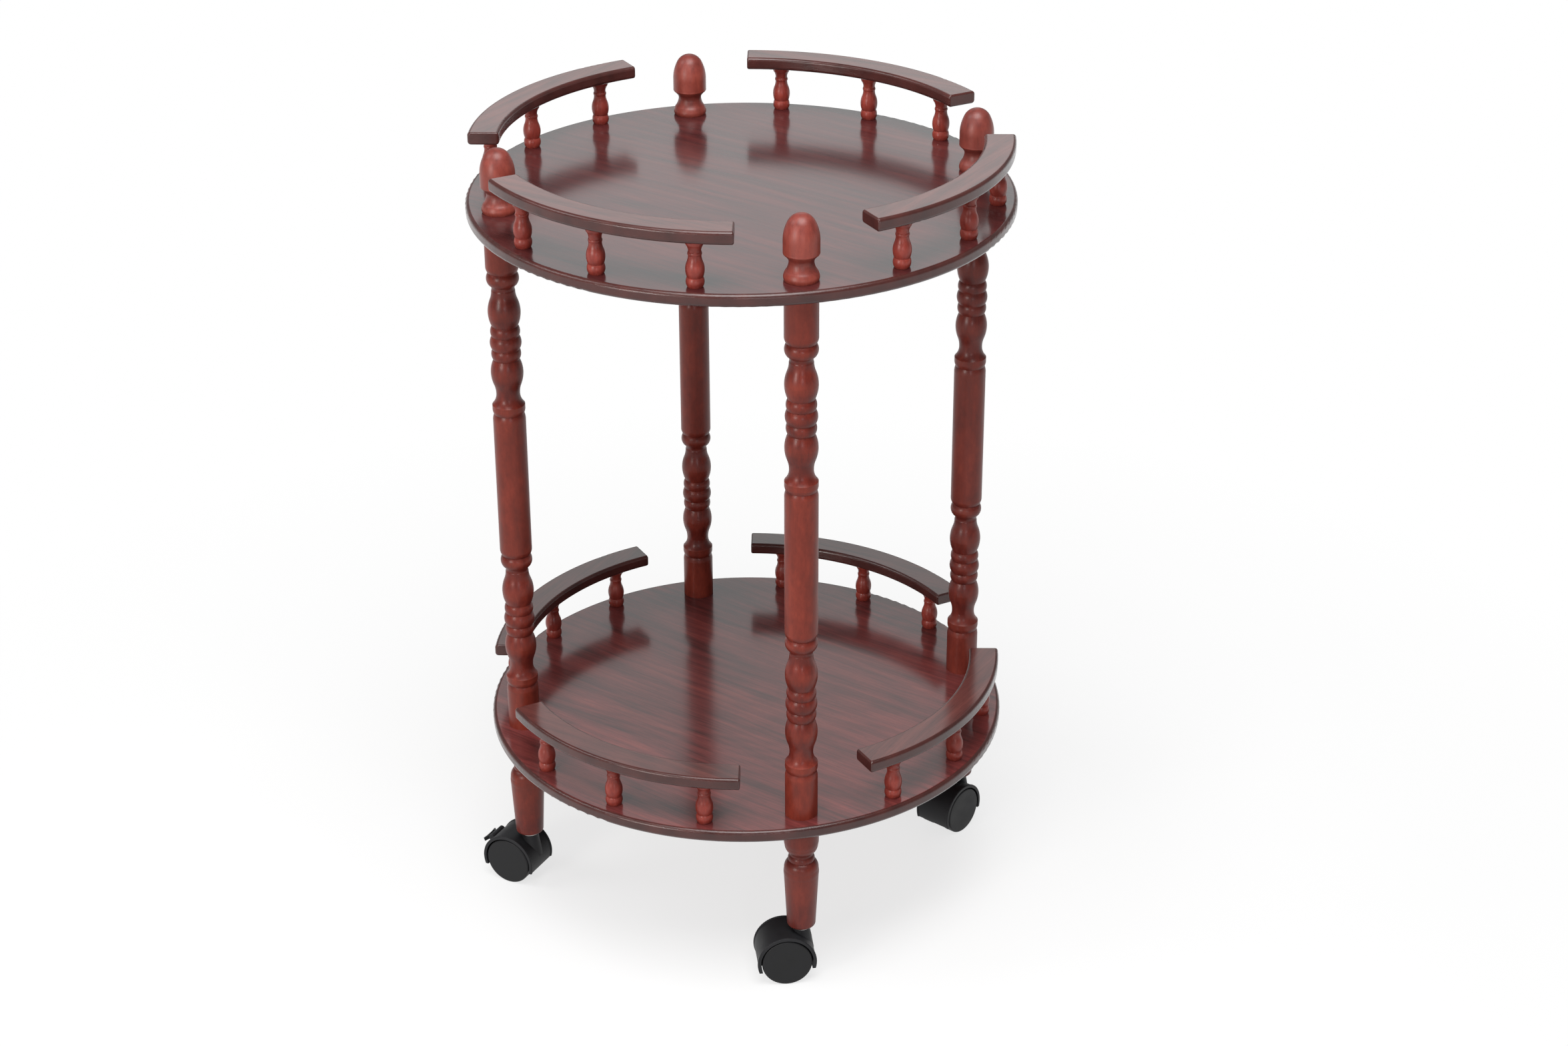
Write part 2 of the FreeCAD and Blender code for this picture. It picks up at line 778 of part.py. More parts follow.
def trail_angle(side):
    return getattr(size, f"{side}_trail_angle")


def caster_body(label, side, turn=0):
    post_across, post_along = at_post(side)
    trail_turn = trail_angle(side)
    across = post_across + size.trail * cosine(trail_turn)
    along = post_along + size.trail * sine(trail_turn)
    return new_body(label, trail_turn + turn, across, along, size.wheel_radius)


def hood_shell(body):
    """The barrel over both wheels, with a bead round each opening, and the web between the wheels."""
    bead = size.hood_rim_height
    bead_radius = hood_outer_radius + bead
    half = wheel_outer_face
    step = half - size.hood_rim_width
    sketch = new_sketch(body, "XY_Plane")
    draw_outline(sketch, [
        (hood_inner_radius, -half, 0),
        (hood_outer_radius, -half, QUARTER_SWELL_SHARE),
        (bead_radius, bead - half, 0),
        (bead_radius, -step - bead, QUARTER_SWELL_SHARE),
        (hood_outer_radius, -step, 0),
        (hood_outer_radius, step, QUARTER_SWELL_SHARE),
        (bead_radius, step + bead, 0),
        (bead_radius, half - bead, QUARTER_SWELL_SHARE),
        (hood_outer_radius, half, 0),
        (hood_inner_radius, half, 0),
    ])
    turn_feature(body, "Revolution", sketch, "V_Axis")
    web = new_sketch(body, "XZ_Plane")
    draw_circle(web, (hood_inner_radius + hood_outer_radius) / 2)
    pad_feature(body, "Pad", web, size.web_thickness)


def hood_boss(body):
    """The cone that rises from the barrel to the stem's collar."""
    soft = size.hood_rim_height
    sketch = new_sketch(body, "XZ_Plane")
    draw_outline(sketch, moved_out([
        (0, size.boss_foot_height, 0),
        (size.boss_foot_radius, size.boss_foot_height, 0),
        (size.boss_top_radius, boss_top - soft, QUARTER_SWELL_SHARE),
        (size.boss_top_radius - soft, boss_top, 0),
        (0, boss_top, 0),
    ], -size.trail))
    draw_axis(sketch, -size.trail)
    turn_feature(body, "Revolution", sketch, "Axis0")


def pivot_circle(body, kind, radius, half_width):
    """A round pad or pocket on the brake lever's pivot axis."""
    sketch = new_sketch(body, "XZ_Plane")
    draw_circle(sketch, radius, pivot_across, pivot_up)
    pad_feature(body, kind, sketch, half_width * 2)


def hood_cuts(body):
    """Opens the barrel below, clears the wheels and bores the web for the axle and the stem."""
    far = hood_outer_radius + size.hood_rim_height + size.cut_overrun
    below = new_sketch(body, "XZ_Plane")
    draw_outline(below, [
        (-far, -far, 0),
        (far, -far, 0),
        (far, -size.hood_rear_drop, 0),
        (-far, -size.hood_front_drop, 0),
    ])
    pad_feature(body, "Pocket", below, (wheel_outer_face + size.cut_overrun) * 2)

    wells = new_sketch(body, "XY_Plane")
    near = size.web_thickness / 2
    open_end = wheel_outer_face + size.cut_overrun
    for low, high in ((near, open_end), (-open_end, -near)):
        draw_outline(wells, [
            (0, low, 0),
            (hood_inner_radius, low, 0),
            (hood_inner_radius, high, 0),
            (0, high, 0),
        ])
    turn_feature(body, "Groove", wells, "V_Axis")

    axle_hole = new_sketch(body, "XZ_Plane")
    draw_circle(axle_hole, size.axle_radius + size.fit_clearance)
    pad_feature(body, "Pocket", axle_hole, size.web_thickness + size.cut_overrun)

    bore = size.stem_radius + size.running_clearance
    _, low, high = ring_seat(snap_seat_low - size.wheel_radius)
    ring_space = size.stem_radius + size.snap_ring_reach + size.ring_side_gap
    foot = stem_foot - size.wheel_radius - size.hole_end_gap
    stem_hole = new_sketch(body, "XZ_Plane")
    draw_outline(stem_hole, moved_out([
        (0, foot, 0),
        (bore, foot, 0),
        (bore, low, 0),
        (ring_space, low, 0),
        (ring_space, high, 0),
        (bore, high, 0),
        (bore, boss_top + size.cut_overrun, 0),
        (0, boss_top + size.cut_overrun, 0),
    ], -size.trail))
    draw_axis(stem_hole, -size.trail)
    turn_feature(body, "Groove", stem_hole, "Axis0")


def make_hood(side):
    """A moulded hood; a braked one also has two ears and a window for the lever."""
    body = caster_body(f"caster_hood_{side}", side)
    braked = side in BRAKED_CASTERS
    hood_shell(body)
    hood_boss(body)
    if braked:
        pivot_circle(body, "Pad", size.lever_hub_radius, ear_inner_face + size.ear_thickness)
    hood_cuts(body)
    if braked:
        trunnion_end = lever_half_width + size.trunnion_length + size.lever_side_gap
        pivot_circle(body, "Pocket", cam_reach + size.window_gap, ear_inner_face)
        pivot_circle(body, "Pocket", size.trunnion_radius + size.running_clearance, trunnion_end)
    return body


def make_axle(side):
    body = caster_body(f"caster_axle_{side}", side)
    reach = wheel_outer_face - size.wheel_face - size.hole_end_gap
    sketch = new_sketch(body, "XY_Plane")
    draw_outline(sketch, rod_points(size.axle_radius, -reach, reach, size.axle_bevel))
    turn_feature(body, "Revolution", sketch, "V_Axis")
    return body


def make_wheel(side, letter, turn):
    """A wheel with a closed outer face, a rim and a blind hub."""
    body = caster_body(f"caster_wheel_{side}_{letter}", side, turn)
    tread = size.wheel_radius
    soft = size.wheel_rounding
    inner = wheel_inner_face
    outer = wheel_outer_face
    wall = outer - size.wheel_face
    bore = size.axle_radius + size.running_clearance
    sketch = new_sketch(body, "XY_Plane")
    draw_outline(sketch, [
        (bore, inner, 0),
        (size.wheel_hub_radius, inner, 0),
        (size.wheel_hub_radius, wall, 0),
        (tread - size.wheel_rim, wall, 0),
        (tread - size.wheel_rim, inner, 0),
        (tread - soft, inner, QUARTER_SWELL_SHARE),
        (tread, inner + soft, 0),
        (tread, outer - soft, QUARTER_SWELL_SHARE),
        (tread - soft, outer, 0),
        (0, outer, 0),
        (0, wall, 0),
        (bore, wall, 0),
    ])
    turn_feature(body, "Revolution", sketch, "V_Axis")
    return body


def mirrored_points(shares):
    """A plan outline of the paddle, the same to both sides."""
    side = [(size.lever_length * reach, size.lever_width * half, 0) for half, reach in shares]
    other = [(across, -along, swell) for across, along, swell in side]
    return other + side[::-1]


def make_lever(side):
    """A brake lever: a hub on two trunnions, a cam towards the wheels and a flared paddle."""
    body = caster_body(f"brake_lever_{side}", side)
    trail_turn = trail_angle(side)
    post_across, post_along = at_post(side)
    out = size.trail + pivot_across
    places = (post_across + out * cosine(trail_turn), post_along + out * sine(trail_turn),
              size.wheel_radius + pivot_up)
    for axis, place in zip("xyz", places):
        body.setExpression(f"Placement.Base.{axis}", place.text)
    heading = FreeCAD.Rotation(FreeCAD.Vector(0, 0, 1), trail_turn.value)
    droop = FreeCAD.Rotation(FreeCAD.Vector(0, 1, 0), size.lever_tilt_angle.value)
    body.Placement.Rotation = heading * droop

    cam_angle = size.pivot_angle + HALF_TURN + size.lever_travel_angle + size.lever_tilt_angle
    cam_out = cam_reach - size.cam_radius
    paddle = new_sketch(body, "XY_Plane")
    draw_outline(paddle, mirrored_points(PADDLE_SHARES))
    pad_feature(body, "Pad", paddle, size.lever_thickness)
    rounds = (
        (size.lever_hub_radius, 0, 0, lever_half_width),
        (size.cam_radius, cam_out * cosine(cam_angle), cam_out * sine(cam_angle), lever_half_width),
        (size.trunnion_radius, 0, 0, lever_half_width + size.trunnion_length),
    )
    for radius, across, up, half_width in rounds:
        sketch = new_sketch(body, "XZ_Plane")
        draw_circle(sketch, radius, across, up)
        pad_feature(body, "Pad", sketch, half_width * 2)
    recess = new_sketch(body, "XY_Plane", lift=size.lever_thickness / 2)
    draw_outline(recess, mirrored_points(PADDLE_RECESS_SHARES))
    pad_feature(body, "Pocket", recess, size.lever_recess_depth * 2)
    return body


def make_caster(side):
    pieces = [make_hood(side), make_axle(side), make_wheel(side, "a", 0), make_wheel(side, "b", HALF_TURN)]
    if side in BRAKED_CASTERS:
        pieces.append(make_lever(side))
    return pieces


def make_tier(level, base):
    """One shelf with its gallery and the screws that hold it."""
    shelf = make_shelf("top_shelf" if level == "upper" else "lower_shelf", base)
    pieces = [shelf, make_screws(f"{level}_spindle_screws", base)]
    shelf_top = base + size.shelf_thickness
    for place, post in RAIL_POSTS.items():
        turn = POST_ANGLES[post] + HALF_SIDE_ANGLE
        pieces.append(make_spindles(f"{level}_spindles_{place}", turn, shelf_top))
        pieces.append(make_rail(f"{level}_rail_{place}", turn, shelf_top + size.gallery_height))
    return pieces


nodes = make_tier("upper", top_shelf_base) + make_tier("lower", lower_shelf_base)
for post_side in POST_ANGLES:
    nodes += [make_post(post_side), make_finial(post_side), make_leg(post_side)]
nodes.append(make_studs("upper_studs", top_shelf_base, size.stud_in_post, size.stud_in_finial))
nodes.append(make_studs("lower_studs", lower_shelf_base, size.stud_in_leg, size.stud_in_post))
nodes += [make_sockets(), make_stems()]
nodes.append(make_rings("stem_snap_rings", snap_seat_low, size.stem_radius + size.snap_ring_reach))
nodes.append(make_rings("stem_grip_rings", grip_seat_low,
                        size.stem_radius + size.socket_gap - size.fit_clearance))
for post_side in POST_ANGLES:
    nodes += make_caster(post_side)
doc.recompute()

# Nothing is written unless every object is sound and every cut has taken material away
faults = [thing.Label for thing in doc.Objects if {"Invalid", "Error"} & set(thing.State)]
for thing in doc.Objects:
    if thing.TypeId in ("PartDesign::Pocket", "PartDesign::Groove"):
        if thing.Shape.Volume >= thing.BaseFeature.Shape.Volume:
            faults.append(f"{thing.Label} cuts nothing")
faults += [node.Label for node in nodes if node.Shape.isNull() or not node.Shape.isValid()]
if faults:
    raise RuntimeError(f"not built: {faults}")

os.makedirs("parts", exist_ok=True)
for node in nodes:
    node.Shape.exportStep(f"parts/{node.Label}.step")
    print(f"{node.Label}: {len(node.Shape.Solids)} solid(s), {node.Shape.Volume:.0f} mm3")
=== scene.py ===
import math
from collections import namedtuple

import bpy
from mathutils import Matrix, Vector

# A round two-tier serving trolley in stained wood, on black twin-wheel casters.
# Everything is in metres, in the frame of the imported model: z = 0 is the floor, the front post is on -Y.
# Colours are written in 0 to 255 display values.

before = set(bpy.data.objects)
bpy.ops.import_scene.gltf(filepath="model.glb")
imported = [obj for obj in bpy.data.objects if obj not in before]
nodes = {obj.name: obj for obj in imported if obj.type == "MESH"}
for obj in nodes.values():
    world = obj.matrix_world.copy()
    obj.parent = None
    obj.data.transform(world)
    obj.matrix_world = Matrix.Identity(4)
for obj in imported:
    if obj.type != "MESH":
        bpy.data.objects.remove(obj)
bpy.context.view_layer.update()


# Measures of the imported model

POST_ANGLES = {"front": -90.0, "right": 0.0, "rear": 90.0, "left": 180.0}
RAIL_ANGLES = {"front_right": -45.0, "rear_right": 45.0, "rear_left": 135.0, "front_left": -135.0}
POST_CIRCLE = 0.1864
POST_RADIUS = 0.0127
SHELF_RADIUS = 0.210
SHELF_ROUNDING = 0.0032
RAIL_RADIUS = 0.1955
RAIL_HALF_WIDTH = 0.012
RAIL_HALF_SPAN = math.radians(30.5)
RAIL_ROUNDING = 0.0026
RAIL_END_ROUNDING = 0.0016


# Noise patterns: cells per metre on the three axes, octaves, how strong the fine octaves are, and
# the pattern's weight where several are summed. Boards count along the grain, across it and upright.

Pattern = namedtuple("Pattern", "density detail roughness weight", defaults=(0.5, 0.0))

BOARD_WANDER = Pattern((2.6, 8.0, 2.0), 2.0)
BOARD_BANDS = Pattern((3.2, 26.0, 4.0), 2.0, weight=0.24)
BOARD_STREAKS = Pattern((8.0, 150.0, 8.0), 4.0, 0.6, weight=0.46)
BOARD_FINE = Pattern((30.0, 620.0, 20.0), 3.0, 0.6, weight=0.28)
BOARD_SWELL = Pattern((1.7, 6.0, 1.0), 1.0, weight=0.02)
BOARD_PORES = Pattern((120.0, 2400.0, 120.0), 1.0)
EDGE_PAINT = Pattern((60.0, 60.0, 60.0), 4.0)
EDGE_GRIT = Pattern((5000.0, 5000.0, 5000.0), 2.0)
TURNED_FIBRES = Pattern((380.0, 380.0, 22.0), 4.0, 0.62, weight=0.14)
TURNED_MOTTLE = Pattern((210.0, 210.0, 90.0), 5.0, 0.66, weight=0.50)
TURNED_BLOTCHES = Pattern((48.0, 48.0, 26.0), 2.0, weight=0.36)
TURNED_PORES = Pattern((1500.0, 1500.0, 90.0), 1.0)
PLASTIC_GRAIN = Pattern((2600.0, 2600.0, 2600.0), 2.0)
PLASTIC_HAZE = Pattern((70.0, 70.0, 70.0), 3.0)
ZINC_SCRATCHES = Pattern((300.0, 300.0, 4000.0), 3.0)
FLOOR_PAPER = Pattern((3.0, 3.0, 3.0), 2.0)


# Looks of the printed boards

TOP_TONES = [(0.36, (60, 28, 29)), (0.45, (72, 33, 34)), (0.52, (82, 37, 37)), (0.62, (95, 44, 42))]
# Painted light: the lower shelf's print is lighter than the top shelf's, standing in for the light the top
# shelf keeps off it.
LOWER_LIT_TONES = [(0.36, (74, 36, 36)), (0.45, (97, 46, 45)), (0.52, (114, 53, 52)), (0.62, (133, 64, 59))]
RAIL_TONES = [(0.36, (70, 39, 37)), (0.45, (87, 47, 44)), (0.52, (98, 53, 49)), (0.62, (110, 60, 55))]
EDGE_TONES = [(0.3, (60, 29, 26)), (0.7, (80, 39, 35))]
BOARD_PORE_TONE = (40, 20, 21)
SHELF_GRAIN_ANGLE = -50.0
TOP_GRAIN_START = (0, 0, 0)
LOWER_GRAIN_START = (0.31, 0.17, 0.4)
# How far each next rail, and each rail of the lower shelf, is moved along the pattern.
RAIL_GRAIN_STEP = (0.23, 0.37, 0.11)
BOARD_SWAY = 0.014
BOARD_RING_TURNS = 150.0
# The share of a rounding over which the print gives way to the painted edge.
EDGE_FADE = 0.3
# How far the lacquer's direction strays on the painted edges.
EDGE_STRAY = 0.9


# Looks of the turned pieces

POST_TONES = [(0.38, (90, 28, 19)), (0.47, (107, 35, 24)), (0.54, (118, 41, 29)), (0.64, (134, 51, 36))]
LEG_TONES = [(0.36, (88, 30, 23)), (0.48, (106, 38, 29)), (0.56, (120, 45, 34)), (0.68, (134, 54, 41))]
# Painted light: the finials' stain is lighter than the posts', for the stronger light on top of the
# trolley.
FINIAL_LIT_TONES = [(0.38, (106, 40, 32)), (0.47, (124, 49, 39)), (0.54, (136, 56, 45)), (0.64, (151, 66, 53))]
# Painted light: the spindles' stain is lighter still, for the strong light from the front-left on them.
SPINDLE_LIT_TONES = [(0.36, (117, 42, 34)), (0.48, (138, 53, 43)), (0.56, (151, 61, 50)), (0.68, (165, 73, 60))]
# The hollow tone is painted shade, and the crest tone is a painted highlight.
HOLLOW_SHADE_TONE = (66, 17, 13)
CREST_HIGHLIGHT_TONE = (172, 76, 54)
TURNED_PORE_TONE = (62, 18, 14)
SHADE_BROWN_TONE = (58, 36, 38)
# Radii as shares of the post's: painted shade darkens the stain in the hollows, and a painted highlight
# makes it paler on the crests.
HOLLOW_SHADE_RADII = (0.72, 0.86)
CREST_HIGHLIGHT_RADII = (0.94, 1.0)

# Stain, weight of the lacquer and its roughness.
TurnedLook = namedtuple("TurnedLook", "tones lacquer softness")

TURNED_LOOKS = {
    "post": TurnedLook(POST_TONES, 0.38, 0.30),
    "finial": TurnedLook(FINIAL_LIT_TONES, 0.8, 0.42),
    "leg": TurnedLook(LEG_TONES, 0.36, 0.30),
}
SPINDLE_LOOK = TurnedLook(SPINDLE_LIT_TONES, 0.55, 0.32)
# Painted shade: the turned pieces on the sides away from the lamps, and the front leg under the lower
# shelf, are browned darker by these shares.
SHADE_BROWN_SHARES = {"front": 0.04, "right": 0.24, "rear": 0.10, "left": 0.08}
LEG_SHADE_BROWN_SHARES = {"front": 0.2, "right": 0.24, "rear": 0.10, "left": 0.0}


# Looks of the casters, the metal and the floor

# Painted light: the hood's plastic is a little lighter than the wheels', for the light from above on its
# top.
HOOD_LIT_TONES = [(0.3, (27, 27, 29)), (0.7, (35, 35, 38))]
WHEEL_TONES = [(0.3, (21, 21, 22)), (0.7, (28, 28, 30))]
ZINC_TONES = [(0.3, (186, 187, 186)), (0.7, (226, 226, 222))]
ZINC_STARTS = ("caster_sockets", "caster_stems", "caster_axle", "stem_")
ZINC_ENDS = ("studs", "screws")
FLOOR_LIT_TONES = [(0.3, (158, 158, 158)), (0.7, (164, 164, 163))]
FLOOR_SEEN_TONES = [(0.3, (238, 238, 238)), (0.7, (242, 242, 242))]
FLOOR_HALF = 30.0
# The floor turns to plain white between these distances from the trolley's middle, from this share on.
FLOOR_FADE = (0.25, 0.9)
FLOOR_NEAR_WHITE = 0.72
WHITE = (1.0, 1.0, 1.0, 1.0)


# Light and camera

WORLD_STRENGTH = 0.24
COOL = (0.92, 0.95, 1.0)
WARM = (1.0, 0.97, 0.93)
SKY = (0.90, 1.0, 1.0)
NEUTRAL = (1.0, 1.0, 1.0)

Lamp = namedtuple("Lamp", "name position target width height radiance tint")

LAMPS = [
    Lamp("key_softbox", (-1.85, -1.4, 0.95), (0, 0, 0.4), 0.6, 0.5, 20.0, WARM),
    Lamp("front_softbox", (-0.25, -2.3, 0.75), (0, 0, 0.4), 0.2, 0.24, 30.0, COOL),
    Lamp("top_softbox", (-0.1, -0.8, 2.5), (0, 0, 0.5), 1.6, 1.6, 7.4, NEUTRAL),
    Lamp("left_softbox", (-3.2, 0.6, 3.2), (0, 0, 0.5), 1.6, 1.6, 4.5, NEUTRAL),
    Lamp("rear_softbox", (1.3, 4.5, 2.315), (1.3, 0, 2.315), 2.4, 0.87, 1.05, SKY),
    Lamp("rear_high_softbox", (1.0, 4.5, 3.6), (1.0, 0, 3.6), 1.8, 1.7, 0.9, SKY),
]
CAMERA_PLACE = (-0.4628, -2.0224, 1.3607)
CAMERA_YAW = math.radians(76.24)
CAMERA_PITCH = math.radians(-26.87)
CAMERA_ROLL = -0.0027
CAMERA_LENS = 66.18
CAMERA_SENSOR = 36.0
CAMERA_REACH = 50.0


# Shader building

def new_tree(name):
    """A material with an empty node tree that has only its output."""
    material = bpy.data.materials.new(name)
    material.use_nodes = True
    tree = material.node_tree
    tree.nodes.clear()
    output = tree.nodes.new("ShaderNodeOutputMaterial")
    return material, tree, output


def new_material(name):
    """A material with one shader on its output, ready for nodes."""
    material, tree, output = new_tree(name)
    shader = tree.nodes.new("ShaderNodeBsdfPrincipled")
    tree.links.new(shader.outputs["BSDF"], output.inputs["Surface"])
    return material, tree, shader


def feed(tree, socket, value):
    """Links a socket to another one, or sets its own value."""
    if isinstance(value, bpy.types.NodeSocket):
        tree.links.new(value, socket)
    else:
        socket.default_value = value


def colour(display):
    """A display colour as the linear values that shaders take."""
    linear = []
    for channel in display:
        share = channel / 255
        linear.append(share / 12.92 if share <= 0.04045 else ((share + 0.055) / 1.055) ** 2.4)
    return (*linear, 1.0)


def calculate(tree, operation, *values):
    """One step of arithmetic on numbers."""
    node = tree.nodes.new("ShaderNodeMath")
    node.operation = operation
    for socket, value in zip(node.inputs, values):
        feed(tree, socket, value)
    return node.outputs[0]


def vector_step(tree, operation, *vectors):
    """One step of arithmetic on vectors, as its node."""
    node = tree.nodes.new("ShaderNodeVectorMath")
    node.operation = operation
    for socket, vector in zip(node.inputs, vectors):
        feed(tree, socket, vector)
    return node


def vector_sum(tree, first, second):
    return vector_step(tree, "ADD", first, second).outputs["Vector"]


def direction(tree, vector):
    """A vector brought to length 1."""
    return vector_step(tree, "NORMALIZE", vector).outputs["Vector"]


def length(tree, vector):
    return vector_step(tree, "LENGTH", vector).outputs["Value"]


def scaled(tree, vector, factor):
    node = vector_step(tree, "SCALE", vector)
    feed(tree, node.inputs["Scale"], factor)
    return node.outputs["Vector"]


def place(tree, vector, scale=(1, 1, 1), turn=0.0, move=(0, 0, 0)):
    """A vector scaled, then turned about the upright axis, then moved."""
    node = tree.nodes.new("ShaderNodeMapping")
    feed(tree, node.inputs["Vector"], vector)
    node.inputs["Scale"].default_value = scale
    node.inputs["Rotation"].default_value = (0, 0, turn)
    node.inputs["Location"].default_value = move
    return node.outputs[0]


def split(tree, vector):
    """The outputs X, Y and Z of a vector."""
    node = tree.nodes.new("ShaderNodeSeparateXYZ")
    feed(tree, node.inputs[0], vector)
    return node.outputs


def along(tree, axis, value):
    """A vector along one axis."""
    node = tree.nodes.new("ShaderNodeCombineXYZ")
    feed(tree, node.inputs[axis], value)
    return node.outputs[0]


def noise(tree, vector, pattern, output="Fac"):
    """A noise pattern in the space of a vector, as a number or as a colour."""
    node = tree.nodes.new("ShaderNodeTexNoise")
    feed(tree, node.inputs["Vector"], place(tree, vector, pattern.density))
    node.inputs["Scale"].default_value = 1.0
    node.inputs["Detail"].default_value = pattern.detail
    node.inputs["Roughness"].default_value = pattern.roughness
    return node.outputs[output]


def spread(tree, value, source, target=(0.0, 1.0)):
    """A value mapped from one range to another, and kept inside it."""
    node = tree.nodes.new("ShaderNodeMapRange")
    feed(tree, node.inputs["Value"], value)
    node.inputs["From Min"].default_value = source[0]
    node.inputs["From Max"].default_value = source[1]
    node.inputs["To Min"].default_value = target[0]
    node.inputs["To Max"].default_value = target[1]
    return node.outputs["Result"]


def past(tree, value, low, high):
    """How far a value lies below or above a range, 0 inside it."""
    node = tree.nodes.new("ShaderNodeClamp")
    feed(tree, node.inputs["Value"], value)
    node.inputs["Min"].default_value = low
    node.inputs["Max"].default_value = high
    return calculate(tree, "SUBTRACT", value, node.outputs[0])


def weighted_sum(tree, parts):
    """The sum of values, each times its own weight."""
    total = 0.0
    for value, weight in parts:
        total = calculate(tree, "MULTIPLY_ADD", value, weight, total)
    return total


def ramp(tree, value, tones):
    """A run of display colours at the given places from 0 to 1."""
    node = tree.nodes.new("ShaderNodeValToRGB")
    feed(tree, node.inputs["Fac"], value)
    elements = node.color_ramp.elements
    while len(elements) < len(tones):
        elements.new(1.0)
    for element, (position, display) in zip(elements, tones):
        element.position = position
        element.color = colour(display)
    return node.outputs["Color"]


def mix(tree, share, first, second):
    """A colour or vector that goes from the first to the second as the share goes from 0 to 1."""
    node = tree.nodes.new("ShaderNodeMix")
    node.data_type = "RGBA"
    for index, value in ((0, share), (6, first), (7, second)):
        feed(tree, node.inputs[index], value)
    return node.outputs[2]


def mix_shaders(tree, share, first, second):
    node = tree.nodes.new("ShaderNodeMixShader")
    for socket, value in zip(node.inputs, (share, first, second)):
        feed(tree, socket, value)
    return node.outputs[0]


def bump(tree, shader, height, strength, distance):
    """Raises a shader's surface by a height pattern."""
    node = tree.nodes.new("ShaderNodeBump")
    node.inputs["Strength"].default_value = strength
    node.inputs["Distance"].default_value = distance
    feed(tree, node.inputs["Height"], height)
    tree.links.new(node.outputs["Normal"], shader.inputs["Normal"])


def object_space(tree):
    return tree.nodes.new("ShaderNodeTexCoord").outputs["Object"]


def plan_vector(tree):
    """The vector from the trolley's upright axis to a point."""
    return place(tree, object_space(tree), (1, 1, 0))


# Boards: shelves and gallery rails

def fading_edge(tree, value, end, rounding):
    """0 up to where the rounding before an end starts, then soon 1."""
    start = end - rounding
    return spread(tree, value, (start, start + rounding * EDGE_FADE))


def shelf_edge(tree):
    """1 on the rounded rim of a shelf, else 0."""
    return fading_edge(tree, length(tree, plan_vector(tree)), SHELF_RADIUS, SHELF_ROUNDING)


def rail_ends(tree, middle):
    """1 on the rounded ends of the rail round a middle angle, else 0."""
    turned = split(tree, place(tree, object_space(tree), turn=-math.radians(middle)))
    angle = calculate(tree, "ARCTAN2", turned["Y"], turned["X"])
    off_middle = calculate(tree, "ABSOLUTE", angle)
    return fading_edge(tree, off_middle, RAIL_HALF_SPAN, RAIL_END_ROUNDING / RAIL_RADIUS)


def rail_edge(tree, middle):
    """1 on the rounded sides and ends of the rail round a middle angle, else 0."""
    off_middle = calculate(tree, "SUBTRACT", length(tree, plan_vector(tree)), RAIL_RADIUS)
    side = calculate(tree, "ABSOLUTE", off_middle)
    sides = fading_edge(tree, side, RAIL_HALF_WIDTH, RAIL_ROUNDING)
    return calculate(tree, "MAXIMUM", sides, rail_ends(tree, middle))


def rounded_normal(tree, radii, heights, rounding):
    """The true normal of a flat ring or disc with rounded edges, from its radii and heights."""
    plan = plan_vector(tree)
    height = split(tree, object_space(tree))["Z"]
    outward = past(tree, length(tree, plan), radii[0] + rounding, radii[1] - rounding)
    upward = past(tree, height, heights[0] + rounding, heights[1] - rounding)
    sideways = scaled(tree, direction(tree, plan), outward)
    return direction(tree, vector_sum(tree, sideways, along(tree, "Z", upward)))


def board_normal(tree, board, middle):
    """The true normal of a shelf, or of the rail round a middle angle."""
    corner_heights = [corner[2] for corner in nodes[board].bound_box]
    heights = (min(corner_heights), max(corner_heights))
    if middle is None:
        # A disc has no inner edge, so its inner radius lies out of reach.
        return rounded_normal(tree, (-1.0, SHELF_RADIUS), heights, SHELF_ROUNDING)
    radii = (RAIL_RADIUS - RAIL_HALF_WIDTH, RAIL_RADIUS + RAIL_HALF_WIDTH)
    normal = rounded_normal(tree, radii, heights, RAIL_ROUNDING)
    mesh_normal = tree.nodes.new("ShaderNodeNewGeometry").outputs["Normal"]
    return mix(tree, rail_ends(tree, middle), normal, mesh_normal)


def board_print(tree, space, tones):
    """The print with its grain along the first axis of a space: its colour, fine grain and pores."""
    wander = noise(tree, space, BOARD_WANDER)
    sway = spread(tree, wander, (0.0, 1.0), (-BOARD_SWAY, BOARD_SWAY))
    flow = vector_sum(tree, space, along(tree, "Y", sway))
    bands = noise(tree, flow, BOARD_BANDS)
    streaks = noise(tree, flow, BOARD_STREAKS)
    fine = noise(tree, flow, BOARD_FINE)
    swell = noise(tree, flow, BOARD_SWELL)
    rings = calculate(tree, "SINE", calculate(tree, "MULTIPLY", swell, BOARD_RING_TURNS))
    tone = weighted_sum(tree, [
        (bands, BOARD_BANDS.weight),
        (streaks, BOARD_STREAKS.weight),
        (fine, BOARD_FINE.weight),
        (rings, BOARD_SWELL.weight),
    ])
    pores = spread(tree, noise(tree, flow, BOARD_PORES), (0.60, 0.70), (0.0, 0.35))
    return mix(tree, pores, ramp(tree, tone, tones), colour(BOARD_PORE_TONE)), fine, pores


